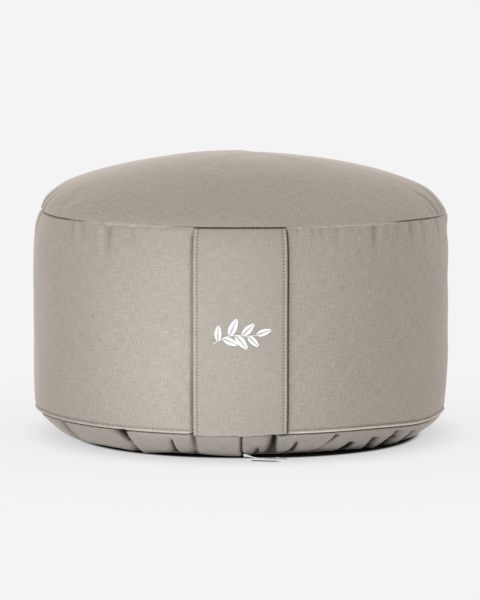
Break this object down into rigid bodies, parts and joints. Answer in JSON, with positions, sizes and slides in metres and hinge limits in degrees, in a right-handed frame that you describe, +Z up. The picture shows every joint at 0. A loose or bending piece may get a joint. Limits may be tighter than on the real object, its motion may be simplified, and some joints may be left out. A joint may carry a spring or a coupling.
{
  "type": "zafu meditation cushion",
  "caption": "Round, firmly filled meditation cushion in greige twill, with a crowned top, upright wall, pleated base and a flat carrying band sewn to the front.",
  "frame": {"origin": "middle of the resting face on the floor", "axes": "+Z up along the round form's axis; -Y is the front, where the carrying band is; +X is to the viewer's right when facing the band"},
  "size_m": [0.3301, 0.3327, 0.2226],
  "materials": {
    "cover_twill": "warm greige cotton twill with a fine diagonal rib and a faint sheen",
    "band_twill": "the same greige twill, double and pressed flat, with stitched edges",
    "label_satin": "white woven satin ribbon, blank",
    "seam_thread": "matt polyester sewing thread, a shade darker than the cloth",
    "embroidery_thread": "glossy white rayon embroidery thread in satin stitch"
  },
  "bodies": {
    "root": {"cushion": "cover_twill", "carry_band": "band_twill", "care_label": "label_satin"}
  },
  "joints": []
}
